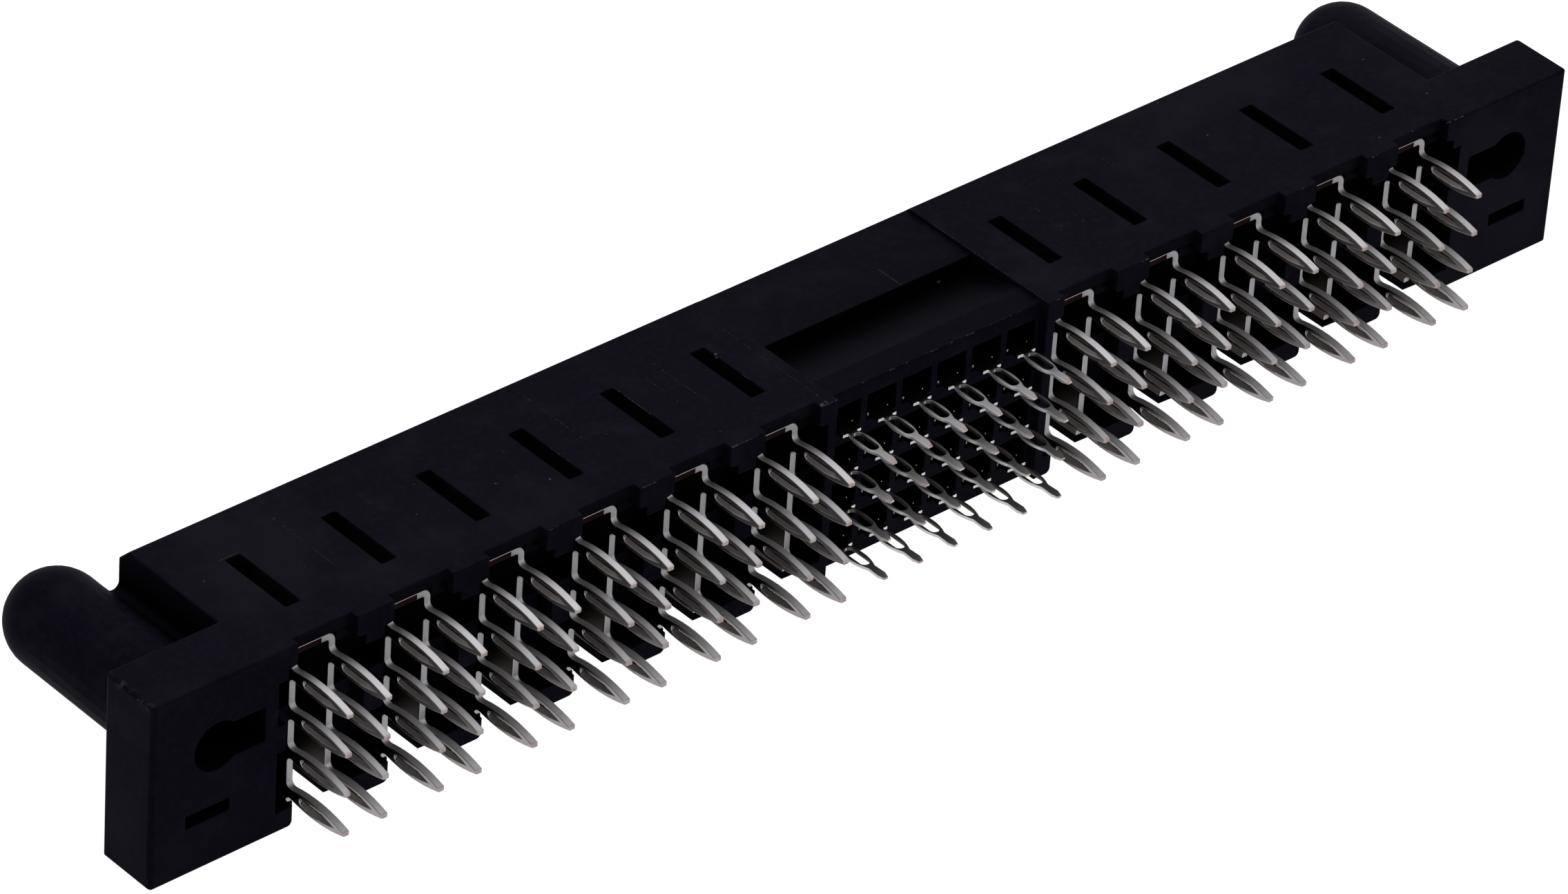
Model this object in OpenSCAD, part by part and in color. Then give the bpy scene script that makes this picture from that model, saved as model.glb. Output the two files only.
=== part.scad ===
// Multi-pin board connector: one long moulded housing with a guide post at each end,
// a block of power contacts on each side and a field of signal contacts between them.
// X runs along the connector, +Y points away from the circuit board, and Z is up.
// The housing lies on its underside, so every height is measured from there, and depths
// are measured from the seating face, which is the face that meets the circuit board.

/* [Layout] */
// Number of power contacts in the left block
left_power_count = 6; // [1:1:9]
// Number of power contacts in the right block
right_power_count = 5; // [1:1:9]
// Number of signal columns between the blocks
signal_column_count = 6; // [1:1:10]
// Spacing of the power contacts
power_pitch = 6.35; // [6:0.05:8]
// Spacing of the signal columns
signal_pitch = 2.54; // [2.4:0.02:2.8]
// Spacing of the four rows of tails
row_pitch = 2.54; // [2.4:0.02:3]
// From the last power contact of a block to the nearest signal column
block_gap = 4.445; // [4.3:0.005:5.5]
// Height of the lowest row of tails
low_row_height = 1.32; // [1.2:0.02:2]
// From the highest row of tails to the top of the housing
top_cover = 2.81; // [2.6:0.01:3.5]

/* [Housing] */
// Depth of the housing from the seating face to the mating face
body_depth = 12.3; // [11.8:0.1:16]
// Chamfer along the top and bottom of the mating face
mating_chamfer = 0.8; // [0.3:0.1:1.2]
// Thickness of the mating wall
mating_wall = 1.5; // [1:0.1:1.8]
// From the last power contact to the end wall of the body
end_margin = 4.1; // [3.6:0.1:6]
// Length of each flange beyond the end wall
flange_length = 7.29; // [6.8:0.01:10]
// Depth of the flanges
flange_depth = 4; // [3.4:0.1:6]
// How far the front of the signal section stands back
signal_setback = 0.65; // [0.2:0.05:1]
// How far the top of the signal section lies below the top
signal_drop = 0.25; // [0.1:0.05:0.5]
// Where the sloping pocket on the signal section starts
pocket_front = 2.3; // [1.2:0.1:3]
// Where the sloping pocket ends at its upright wall
pocket_back = 6.36; // [5:0.01:9]
// Depth of the sloping pocket at that wall
pocket_depth = 1.1; // [0.4:0.05:1.3]

/* [Guide posts] */
// Radius of the guide posts' free ends
post_r = 2.88; // [2.5:0.02:3]
// Height of the guide posts' axes
post_height = 7.5; // [6.6:0.1:8.2]
// From a post's free end to the plane of the end wall, along X
post_gap = 0.12; // [0.1:0.02:0.4]
// How far the straight part of a post stands out of the mating face
post_straight = 1.2; // [0.6:0.1:6]
// How much larger a post's radius is at the seating face, where its draft ends
post_draft = 0.05; // [0.03:0.01:0.1]
// Fillet where the web meets the post and the wall
web_fillet = 0.4; // [0.3:0.05:0.6]
// Radius of the core hole up the inside of a post
core_r = 1.5; // [1:0.05:1.8]
// Depth of the core hole
core_depth = 10; // [6:0.5:12]
// Height of the relief slot that runs inwards from the core hole
relief_height = 2.2; // [1.5:0.05:2.8]
// Reach of the relief slot from the post's axis
relief_reach = 3.12; // [2.4:0.02:3.6]
// Depth of the relief slot
relief_depth = 3; // [1:0.1:3.2]
// Length of the small slot below the core hole
small_slot_length = 2.85; // [2:0.05:4]
// Height of the small slot
small_slot_height = 0.8; // [0.5:0.05:1.2]
// From the small slot's inner end to the post's axis
small_slot_inner = 0.85; // [0.2:0.05:2]
// Height of the small slot's centre line
small_slot_level = 3.4; // [2.6:0.1:4.2]
// Depth of the small slot
small_slot_depth = 2; // [1:0.1:3]

/* [Power bays] */
// Width of the slots in the top
vent_width = 1; // [0.6:0.05:1.6]
// Where the slots in the top start
vent_front = 2.9; // [2:0.1:4]
// Length of the slots in the top
vent_length = 5.1; // [3:0.1:6]
// Corner radius of the slots in the top
vent_corner = 0.1; // [0.05:0.05:0.25]
// Half the width of a bay's mouth, with the step above it and the gap in the sill under it
mouth_half = 1.95; // [1.8:0.05:2.2]
// Depth of a bay's mouth
mouth_depth = 1.2; // [0.8:0.05:1.8]
// Height of the sill between the mouths
sill_height = 1.3; // [1:0.05:1.8]
// From a contact's strap up to the top of the mouth
mouth_headroom = 0.57; // [0.3:0.01:0.8]
// Depth of the step in the top edge
step_depth = 0.55; // [0.3:0.05:0.8]
// Depth of the slot in the floor between a contact's walls
floor_slot_depth = 4.2; // [2:0.1:4.4]
// Radius of the sill's lower corners beside the mouths
sill_corner = 0.35; // [0.2:0.05:0.6]
// From the outermost contact of a block to the wall of the pocket beside it
end_pocket = 3.15; // [2.8:0.05:3.3]
// From the innermost contact of a block to the wall of the pocket beside it
inner_pocket = 2.6; // [2:0.05:2.8]
// Depth of the pockets between the bays
pocket_reach = 3; // [2:0.1:4]
// From the highest row of tails to the ceiling of the upper pockets
pocket_ceiling = 0.76; // [0.4:0.02:0.88]
// Height of the web's underside between the pockets
web_level = 5.2; // [4.6:0.1:5.6]
// Height of the web between the pockets
web_height = 1.7; // [1:0.1:2]
// Half the width of a blade opening in the mating face
blade_half = 1; // [0.6:0.05:1.2]
// Lead-in chamfer of the blade openings
blade_lead = 0.4; // [0.2:0.05:0.5]
// Play between a contact and the walls of its cell
cell_play = 0.02; // [0:0.01:0.05]

/* [Power contacts] */
// Thickness of the power contacts' sheet
power_sheet = 0.45; // [0.3:0.05:0.6]
// Half the outer width of a power contact
power_half = 1.5; // [1.3:0.05:1.6]
// Set-back of a power contact's front edge
power_setback = 1.2; // [0.8:0.05:1.5]
// Where the strap ends
strap_back = 2.5; // [2:0.1:2.7]
// Where the walls end and the spring beams begin
wall_back = 4.6; // [4.4:0.1:5.4]
// From the highest row of tails to the top of the strap
strap_rise = 1.46; // [1.28:0.02:1.58]
// Outer radius of the folds beside the strap
fold_r = 0.6; // [0.5:0.05:0.9]
// From the highest row of tails to the top of the walls behind the strap
wall_rise = 0.86; // [0.78:0.02:0.98]
// From the lowest row of tails down to the lower edge of the walls
wall_drop = 0.82; // [0.7:0.02:0.94]
// Height of the step that the lower edge of the walls seats against
seat_step = 0.5; // [0.2:0.05:0.8]
// Play above and below the spring beams
beam_play = 0.15; // [0.05:0.05:0.3]
// Gap between spring beams
beam_gap = 0.45; // [0.3:0.05:0.8]
// Free room between the beams' ends and the mating wall
beam_room = 0.5; // [0.2:0.1:1]
// From the beams' ends back to where they touch the blade
beam_touch = 1.1; // [0.8:0.1:2]
// Half the space between facing beams where they touch the blade
beam_space = 0.5; // [0.3:0.05:0.6]
// How far the beams' ends flare out again
beam_flare = 0.25; // [0.1:0.05:0.3]

/* [Power tails] */
// How far the power tails stand out from the seating face
power_tail_reach = 3.6; // [3.2:0.1:4.4]
// From the seating face to the widest place of a power tail
power_tail_middle = 0.95; // [0.8:0.05:1.4]
// Half the height of a power tail at its widest place
power_tail_half = 0.51; // [0.46:0.01:0.65]
// Half the length of the full lens that a power tail is cut from
power_lens_half = 2.9; // [2.8:0.05:3.6]
// Half the height of a power tail's neck
power_neck_half = 0.325; // [0.25:0.005:0.4]
// Fillet where a power tail's neck joins the wall
power_neck_fillet = 0.3; // [0.1:0.05:0.4]
// Half the height of the eye in a power tail
power_eye_half = 0.28; // [0.15:0.01:0.3]
// Half the length of the full lens that the eye is cut from
power_eye_length = 1.72; // [1.4:0.02:2]
// How far the blunt end of the eye lies behind the seating face
power_eye_end = 0.12; // [-0.2:0.02:0.3]

/* [Signal cells] */
// Thickness of the ribs between the signal cells
rib = 0.44; // [0.3:0.02:0.6]
// Height of a signal cell's opening
cell_height = 1.65; // [1.2:0.05:1.9]
// Where the signal cells end at the bulkhead
bulkhead_front = 3; // [2.6:0.1:3.6]
// Where the bulkhead ends
bulkhead_back = 4.6; // [4.2:0.1:5.4]
// Half the width of the chambers behind the bulkhead
chamber_half = 0.8; // [0.7:0.05:0.95]
// Half the height of the chambers behind the bulkhead
chamber_rise = 0.6; // [0.4:0.05:0.8]
// Radius of the pin holes in the mating face
pin_hole_r = 0.45; // [0.35:0.05:0.6]
// Radius of the lead-in of the pin holes
pin_lead_r = 0.8; // [0.65:0.05:0.9]

/* [Signal contacts] */
// Thickness of the signal contacts' sheet
signal_sheet = 0.2; // [0.15:0.05:0.3]
// Set-back of a signal contact's shoulder
shoulder_setback = 0.1; // [0:0.05:0.5]
// Half the width of a signal contact's base
base_half = 0.65; // [0.6:0.01:0.7]
// How far the barbs stand out of the sides of the base
barb = 0.1; // [0.04:0.02:0.2]
// Where the barbs start
barb_front = 0.9; // [0.6:0.1:1.4]
// Length of the barbs
barb_length = 0.6; // [0.3:0.1:1]
// Half the width of a signal contact's shank
shank_half = 0.5; // [0.42:0.02:0.55]
// Width of one prong of the fork
prong = 0.22; // [0.14:0.02:0.26]
// Where the fork begins
fork_front = 5.4; // [5.2:0.1:6]
// Free room between the fork and the mating wall
fork_room = 0.4; // [0.2:0.1:1]
// How far the fork's prongs flare at their ends
fork_flare = 0.1; // [0.04:0.02:0.12]
// Length of that flare
flare_length = 0.5; // [0.3:0.1:1]

/* [Signal tails] */
// How far the signal tails stand out from the seating face
signal_tail_reach = 3.4; // [3:0.1:3.7]
// From the seating face to the middle of the ring
ring_middle = 1; // [0.95:0.05:1.4]
// Half the length of the lens that makes the ring
ring_length = 1.6; // [1.5:0.05:1.8]
// Half the width of the ring
ring_half = 0.5; // [0.44:0.01:0.58]
// Half the width of the eye in the ring
signal_eye_half = 0.31; // [0.16:0.01:0.35]
// Length of the eye in the ring
signal_eye_length = 1.8; // [1.2:0.02:1.82]
// Half the width of a signal tail's neck
signal_neck_half = 0.3; // [0.2:0.01:0.35]
// Fillet where a signal tail's neck joins the shoulder
signal_neck_fillet = 0.1; // [0.05:0.05:0.3]
// Half the width of a signal tail's end
signal_end_half = 0.23; // [0.18:0.01:0.3]
// Length of the taper at a signal tail's tip
signal_taper = 0.4; // [0.1:0.05:0.5]
// Half the width of a signal tail's tip
signal_tip_half = 0.08; // [0.06:0.01:0.15]
// Thickness that is left at a signal tail's coined tip
signal_tip_sheet = 0.08; // [0.04:0.01:0.14]

/* [Hidden] */
$fn = 48;
// Overrun of a cut past the face that it opens
cut = 1;

// The four rows of tails, named from the top down
row_names = ["a", "b", "c", "d"];
row_count = len(row_names);
high_row_height = low_row_height + (row_count - 1) * row_pitch;
function row_height(r) = high_row_height - r * row_pitch;

// Places along the connector
block_edge = block_gap - signal_pitch / 2;
contact_span = (left_power_count + right_power_count - 2) * power_pitch
    + 2 * block_gap + (signal_column_count - 1) * signal_pitch;
power_count = left_power_count + right_power_count;
first_signal = -contact_span / 2 + (left_power_count - 1) * power_pitch + block_gap;
function power_x(i) = i < left_power_count
    ? -contact_span / 2 + i * power_pitch
    : contact_span / 2 - (power_count - 1 - i) * power_pitch;
function signal_x(j) = first_signal + j * signal_pitch;
signal_left = first_signal - signal_pitch / 2;
signal_right = signal_x(signal_column_count - 1) + signal_pitch / 2;
body_half = contact_span / 2 + end_margin;
flange_half = body_half + flange_length;
post_x = body_half + post_gap + post_r;

// Heights
top = high_row_height + top_cover;
signal_top = top - signal_drop;
strap_top = high_row_height + strap_rise;
wall_top = high_row_height + wall_rise;
wall_bottom = low_row_height - wall_drop;
chamber_bottom = wall_bottom + seat_step;
mouth_top = strap_top + mouth_headroom;

// Depths
cavity_back = body_depth - mating_wall;
post_nose = body_depth + post_straight;
post_tip = post_nose + post_r;
// The frame's origin lies midway between the tips of the power tails and the tips of the posts
middle = (post_tip - power_tail_reach) / 2;

power_names = [for (i = [0:power_count - 1]) str("power_contact_", i + 1)];
signal_names = [for (r = [0:row_count - 1], j = [0:signal_column_count - 1])
    str("signal_contact_", row_names[r], j + 1)];

// A box between two corners
module span(low, high) {
    translate(low)
        cube(high - low);
}

// A profile in (Y, Z), drawn out along X from x0 to x1
module along_x(x0, x1) {
    translate([x0, 0, 0])
        rotate([90, 0, 90])
            linear_extrude(height = x1 - x0)
                children();
}

// A profile in (X, Z), drawn out along Y from y0 to y1
module along_y(y0, y1) {
    translate([0, y1, 0])
        rotate([90, 0, 0])
            linear_extrude(height = y1 - y0)
                children();
}

// A pointed oval between two equal arcs, with its long axis along X
module lens(half_length, half_height) {
    r = lens_radius(half_length, half_height);
    intersection() {
        translate([0, half_height - r])
            circle(r = r, $fn = 96);
        translate([0, r - half_height])
            circle(r = r, $fn = 96);
    }
}

function lens_radius(half_length, half_height) =
    (half_length * half_length + half_height * half_height) / (2 * half_height);

// Radius of the circle that rounds a lens off at a distance reach from its middle, and that is
// as wide as the lens where it sits
function lens_tip(half_length, half_height, reach) =
    let (r = lens_radius(half_length, half_height),
         k = r - half_height,
         b = k - reach)
    (sqrt(b * b - 2 * (k * k + reach * reach - r * r)) - b) / 2;

// Housing

// The outline of a section in (Y, Z). The upper chamfer lies in one plane along the whole body,
// so a lower section loses less to it.
module body_profile(front, height) {
    upper_chamfer = mating_chamfer - (top - height);
    polygon([
        [front, 0],
        [body_depth - mating_chamfer, 0],
        [body_depth, mating_chamfer],
        [body_depth, height - upper_chamfer],
        [body_depth - upper_chamfer, height],
        [front, height]
    ]);
}

module signal_profile() {
    difference() {
        body_profile(signal_setback, signal_top);
        polygon([
            [pocket_front, signal_top],
            [pocket_back, signal_top - pocket_depth],
            [pocket_back, signal_top + cut],
            [pocket_front, signal_top + cut]
        ]);
    }
}

module body_blank() {
    along_x(-body_half, signal_left)
        body_profile(0, top);
    along_x(signal_left - cut, signal_right + cut)
        signal_profile();
    along_x(signal_right, body_half)
        body_profile(0, top);
}

// The right-hand guide post with its web and flange. Its foot is the flange's front face.
module post_end() {
    wall_x = -post_gap - post_r;
    fillet_x = wall_x + web_fillet;
    fillet_z = sqrt(pow(post_r + web_fillet, 2) - fillet_x * fillet_x);
    span([body_half - cut, 0, 0], [flange_half, flange_depth, top]);
    translate([post_x, 0, post_height]) {
        along_y(flange_depth / 2, body_depth)
            difference() {
                polygon([
                    [0, 0],
                    [fillet_x, fillet_z],
                    [wall_x - cut, fillet_z],
                    [wall_x - cut, -fillet_z],
                    [fillet_x, -fillet_z]
                ]);
                for (side = [-1, 1])
                    translate([fillet_x, side * fillet_z])
                        circle(r = web_fillet);
            }
        rotate([-90, 0, 0]) {
            cylinder(h = body_depth, r1 = post_r + post_draft, r2 = post_r, $fn = 96);
            cylinder(h = post_nose, r = post_r, $fn = 96);
            translate([0, 0, post_nose])
                sphere(r = post_r, $fn = 96);
        }
    }
}

// The core hole up the post, its relief slot and the small slot below
module post_cuts() {
    translate([post_x, -cut, post_height])
        rotate([-90, 0, 0])
            cylinder(h = core_depth + cut, r = core_r);
    span([post_x - relief_reach, -cut, post_height - relief_height / 2],
         [post_x, relief_depth, post_height + relief_height / 2]);
    translate([post_x - small_slot_inner, 0, small_slot_level])
        span([0, -cut, -small_slot_height / 2],
             [small_slot_length, small_slot_depth, small_slot_height / 2]);
}

// A slot through the roof with small round corners
module vent() {
    half = vent_width / 2;
    translate([0, vent_front, wall_top - cut])
        linear_extrude(height = top - wall_top + 2 * cut) {
            translate([-half, vent_corner])
                square([vent_width, vent_length - 2 * vent_corner]);
            translate([vent_corner - half, 0])
                square([vent_width - 2 * vent_corner, vent_length]);
            for (x = [vent_corner - half, half - vent_corner], y = [vent_corner, vent_length - vent_corner])
                translate([x, y])
                    circle(r = vent_corner, $fn = 24);
        }
}

// What rounds off the sill's lower corners on both sides of a mouth
module sill_corners() {
    along_y(-cut, mouth_depth)
        for (side = [-1, 1])
            translate([side * (mouth_half + sill_corner), 0])
                difference() {
                    translate([side < 0 ? 0 : -sill_corner - cut, -cut])
                        square([sill_corner + cut, sill_corner + cut]);
                    translate([0, sill_corner])
                        circle(r = sill_corner);
                }
}

// The opening for the mating blade, with a lead-in all round
module blade_opening() {
    low = chamber_bottom + blade_lead;
    high = wall_top - blade_lead;
    lead = blade_lead + cut;
    span([-blade_half, cavity_back - cut, low], [blade_half, body_depth + cut, high]);
    intersection() {
        translate([0, 0, low - lead])
            linear_extrude(height = high - low + 2 * lead)
                polygon([
                    [-blade_half, body_depth - blade_lead],
                    [blade_half, body_depth - blade_lead],
                    [blade_half + lead, body_depth + cut],
                    [-blade_half - lead, body_depth + cut]
                ]);
        along_x(-blade_half - lead, blade_half + lead)
            polygon([
                [body_depth - blade_lead, low],
                [body_depth - blade_lead, high],
                [body_depth + cut, high + lead],
                [body_depth + cut, low - lead]
            ]);
    }
}

// Everything that is cut away for one power contact
module power_bay() {
    cell_half = power_half + cell_play;
    slot_half = power_half - power_sheet;
    span([-mouth_half, -cut, mouth_top - cut], [mouth_half, step_depth, top + cut]);
    span([-mouth_half, -cut, -cut], [mouth_half, mouth_depth, mouth_top]);
    span([-slot_half, -cut, -cut], [slot_half, floor_slot_depth, chamber_bottom]);
    span([-cell_half, -cut, wall_bottom], [cell_half, strap_back, strap_top + cell_play]);
    span([-cell_half, -cut, wall_bottom], [cell_half, wall_back, wall_top + cell_play]);
    span([-cell_half, wall_back - cut, chamber_bottom], [cell_half, cavity_back, wall_top + cell_play]);
    sill_corners();
    vent();
    blade_opening();
}

// The upper and the lower pocket along a block, from x0 to x1, which open the bays to each other
module block_pockets(x0, x1) {
    span([x0, -cut, sill_height], [x1, pocket_reach, web_level]);
    span([x0, -cut, web_level + web_height], [x1, pocket_reach, high_row_height + pocket_ceiling]);
}

// Everything that is cut away for one signal contact at the height z
module signal_cell(z) {
    floor_z = z - signal_sheet / 2;
    half = (signal_pitch - rib) / 2;
    span([-half, -cut, floor_z], [half, bulkhead_front, floor_z + cell_height]);
    span([-shank_half - cell_play, bulkhead_front - cut, floor_z],
         [shank_half + cell_play, bulkhead_back + cut, z + signal_sheet / 2 + cell_play]);
    span([-chamber_half, bulkhead_back, z - chamber_rise], [chamber_half, cavity_back, z + chamber_rise]);
    translate([0, cavity_back - cut, z])
        rotate([-90, 0, 0]) {
            cylinder(h = mating_wall + 2 * cut, r = pin_hole_r);
            translate([0, 0, mating_wall + cut - (pin_lead_r - pin_hole_r)])
                cylinder(h = pin_lead_r - pin_hole_r + cut, r1 = pin_hole_r, r2 = pin_lead_r + cut);
        }
}

module housing() {
    color([0.09, 0.085, 0.105])
        translate([0, -middle, 0])
            difference() {
                union() {
                    body_blank();
                    for (side = [0, 1])
                        mirror([side, 0, 0])
                            post_end();
                }
                for (side = [0, 1])
                    mirror([side, 0, 0])
                        post_cuts();
                for (i = [0:power_count - 1])
                    translate([power_x(i), 0, 0])
                        power_bay();
                block_pockets(power_x(0) - end_pocket, power_x(left_power_count - 1) + inner_pocket);
                block_pockets(power_x(left_power_count) - inner_pocket, power_x(power_count - 1) + end_pocket);
                for (r = [0:row_count - 1], j = [0:signal_column_count - 1])
                    translate([signal_x(j), 0, 0])
                        signal_cell(row_height(r));
            }
}

// Power contacts

// An upright plate with two round upper corners, in (X, Z)
module arch(half, low, high, r) {
    translate([-half, low])
        square([2 * half, high - r - low]);
    translate([r - half, low])
        square([2 * (half - r), high - low]);
    for (side = [-1, 1])
        translate([side * (half - r), high - r])
            circle(r = r);
}

// The fold over the top of the contact, with the front stretch of both walls
module strap() {
    along_y(power_setback, strap_back)
        difference() {
            arch(power_half, wall_bottom, strap_top, fold_r);
            arch(power_half - power_sheet, wall_bottom - cut, strap_top - power_sheet, fold_r - power_sheet);
        }
}

// A lens that is rounded off at a distance reach from its middle on the side of +X. The circle
// is turned by half a facet, so that none of its corners lies on the lens.
module blunt_lens(half_length, half_height, reach) {
    tip_r = lens_tip(half_length, half_height, reach);
    intersection() {
        lens(half_length, half_height);
        translate([-half_length, -half_height])
            square([half_length + reach - 3 * tip_r / 4, 2 * half_height]);
    }
    translate([reach - tip_r, 0])
        rotate(180 / $fn)
            circle(r = tip_r);
}

// One press-fit tail in (Y, Z), on the row's own height: its blunt end is the tip, and the eye's
// blunt end lies beside the wall
module power_tail() {
    difference() {
        union() {
            translate([-power_tail_middle, 0])
                mirror([1, 0])
                    blunt_lens(power_lens_half, power_tail_half, power_tail_reach - power_tail_middle);
            translate([-power_tail_middle, -power_neck_half])
                square([power_tail_middle + power_setback, 2 * power_neck_half]);
            for (side = [0, 1])
                mirror([0, side])
                    translate([power_setback - power_neck_fillet, power_neck_half])
                        difference() {
                            square(power_neck_fillet);
                            translate([0, power_neck_fillet])
                                circle(r = power_neck_fillet);
                        }
        }
        translate([-power_tail_middle, 0])
            blunt_lens(power_eye_length, power_eye_half, power_tail_middle + power_eye_end);
    }
}

// A straight strip of sheet from p to q with round ends
module strip(p, q, thickness) {
    step = q - p;
    translate(p)
        rotate(atan2(step[1], step[0]))
            translate([0, -thickness / 2])
                square([norm(step), thickness]);
    translate(p)
        circle(r = thickness / 2);
    translate(q)
        circle(r = thickness / 2);
}

// One spring beam in (X, Y): it leans in to the blade and flares out again
module beam_plan() {
    root_x = power_half - power_sheet / 2;
    touch_x = beam_space + power_sheet / 2;
    end_y = cavity_back - beam_room - power_sheet / 2;
    strip([root_x, wall_back], [touch_x, end_y - beam_touch], power_sheet);
    strip([touch_x, end_y - beam_touch], [touch_x + beam_flare, end_y], power_sheet);
}

// The right-hand wall with its tails and its beams
module power_wall() {
    along_x(power_half - power_sheet, power_half) {
        translate([power_setback, wall_bottom])
            square([wall_back - power_setback, wall_top - wall_bottom]);
        for (r = [0:row_count - 1])
            translate([0, row_height(r)])
                power_tail();
    }
    low = chamber_bottom + beam_play;
    beam_pitch = (wall_top - beam_play + beam_gap - low) / row_count;
    for (r = [0:row_count - 1])
        translate([0, 0, low + r * beam_pitch])
            linear_extrude(height = beam_pitch - beam_gap)
                beam_plan();
}

module power_contact(i) {
    color([0.7, 0.7, 0.71])
        translate([power_x(i), -middle, 0]) {
            strap();
            for (side = [0, 1])
                mirror([side, 0, 0])
                    power_wall();
        }
}

// Signal contacts

// The press-fit tail, towards -Y: a neck, a ring with an eye, and a blunt tip
module signal_tail() {
    ring_end = signal_eye_length / 2 - signal_eye_half;
    difference() {
        union() {
            translate([0, -ring_middle])
                rotate(90)
                    lens(ring_length, ring_half);
            translate([-signal_neck_half, -ring_middle])
                square([2 * signal_neck_half, ring_middle + shoulder_setback]);
            for (side = [0, 1])
                mirror([side, 0])
                    translate([signal_neck_half, shoulder_setback - signal_neck_fillet])
                        difference() {
                            square(signal_neck_fillet);
                            translate([signal_neck_fillet, 0])
                                circle(r = signal_neck_fillet);
                        }
            polygon([
                [signal_end_half, -ring_middle],
                [-signal_end_half, -ring_middle],
                [-signal_end_half, signal_taper - signal_tail_reach],
                [-signal_tip_half, -signal_tail_reach],
                [signal_tip_half, -signal_tail_reach],
                [signal_end_half, signal_taper - signal_tail_reach]
            ]);
        }
        for (y = [-ring_end, ring_end])
            translate([0, y - ring_middle])
                circle(r = signal_eye_half);
        translate([-signal_eye_half, -ring_end - ring_middle])
            square([2 * signal_eye_half, 2 * ring_end]);
    }
}

// The flat base in front of the bulkhead, with a barb on each side
module signal_base() {
    translate([-base_half, shoulder_setback])
        square([2 * base_half, bulkhead_front - shoulder_setback]);
    polygon([
        [-base_half - barb, barb_front],
        [base_half + barb, barb_front],
        [base_half, barb_front + barb_length],
        [-base_half, barb_front + barb_length]
    ]);
}

// The shank in the bulkhead and the two prongs that grip the mating pin
module signal_fork() {
    fork_back = cavity_back - fork_room;
    gap = shank_half - prong;
    difference() {
        translate([-shank_half, bulkhead_front])
            square([2 * shank_half, fork_back - bulkhead_front]);
        translate([0, fork_front + gap])
            circle(r = gap);
        polygon([
            [-gap, fork_front + gap],
            [gap, fork_front + gap],
            [gap, fork_back - flare_length],
            [gap + fork_flare, fork_back],
            [-gap - fork_flare, fork_back],
            [-gap, fork_back - flare_length]
        ]);
    }
}

// What the coining takes off the upper side of a signal tail's tip, from the sheet's mid-plane
module coining() {
    slope = (signal_sheet - signal_tip_sheet) / 2 / signal_taper;
    along_x(-ring_half, ring_half)
        polygon([
            [signal_taper - signal_tail_reach, signal_sheet / 2],
            [signal_taper - signal_tail_reach, signal_sheet],
            [-signal_tail_reach - signal_taper, signal_sheet],
            [-signal_tail_reach - signal_taper, signal_tip_sheet / 2 - slope * signal_taper]
        ]);
}

module signal_contact(r, j) {
    color([0.72, 0.72, 0.73])
        translate([signal_x(j), -middle, row_height(r) - signal_sheet / 2])
            difference() {
                linear_extrude(height = signal_sheet) {
                    signal_tail();
                    signal_base();
                    signal_fork();
                }
                translate([0, 0, signal_sheet / 2])
                    for (side = [0, 1])
                        mirror([0, 0, side])
                            coining();
            }
}

housing();
for (i = [0:power_count - 1])
    power_contact(i);
for (r = [0:row_count - 1], j = [0:signal_column_count - 1])
    signal_contact(r, j);
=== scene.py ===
# %% [markdown]
# A multi-pin board connector, seen from the side that meets the circuit board.
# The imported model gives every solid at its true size. This lesson dresses those solids:
# it softens their edges, adds what a mould and a stamping die leave behind, and gives
# the plastic and the plated metal their finishes.

import math
import random

import bmesh
import bpy
from mathutils import Matrix, Vector
from mathutils.bvhtree import BVHTree


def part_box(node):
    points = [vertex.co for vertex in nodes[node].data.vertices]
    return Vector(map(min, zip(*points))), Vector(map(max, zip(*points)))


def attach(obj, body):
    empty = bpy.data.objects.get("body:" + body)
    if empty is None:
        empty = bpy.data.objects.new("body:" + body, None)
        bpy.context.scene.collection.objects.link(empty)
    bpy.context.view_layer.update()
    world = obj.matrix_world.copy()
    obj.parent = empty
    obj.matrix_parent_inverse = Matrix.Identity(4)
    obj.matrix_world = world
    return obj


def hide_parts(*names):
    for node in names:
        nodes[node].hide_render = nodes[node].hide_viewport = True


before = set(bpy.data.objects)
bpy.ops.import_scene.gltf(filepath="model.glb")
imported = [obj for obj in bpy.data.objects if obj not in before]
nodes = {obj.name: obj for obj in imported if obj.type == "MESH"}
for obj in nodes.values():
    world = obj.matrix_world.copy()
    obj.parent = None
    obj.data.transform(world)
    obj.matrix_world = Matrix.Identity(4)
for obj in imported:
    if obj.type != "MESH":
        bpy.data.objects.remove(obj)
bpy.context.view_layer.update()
print("solids:", len(nodes))

# %% [markdown]
# All sizes below are in millimetres, because that is how a connector is drawn.
# Blender works in metres here, so one factor turns one into the other. The contacts are
# found by name, and the seating face, from which depths are counted, by the housing's box.

# %% Units and the places that the drawing gives
MM = 0.001
power_nodes = sorted((n for n in nodes if n.startswith("power_contact")), key=lambda n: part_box(n)[0].x)
signal_nodes = sorted(n for n in nodes if n.startswith("signal_contact"))
housing_low, housing_high = (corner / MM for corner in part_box("housing"))
front_y = housing_low.y
top_z = housing_high.z
print("power contacts:", len(power_nodes), "signal contacts:", len(signal_nodes))
print("seating face at y =", round(front_y, 3), "mm")

# %% [markdown]
# The photograph looks down on the connector from its left end, with a long lens.
# The camera below stands where that picture was taken: its three axes and its place
# were fitted to the corners of the housing and the tips of the tails.

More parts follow.
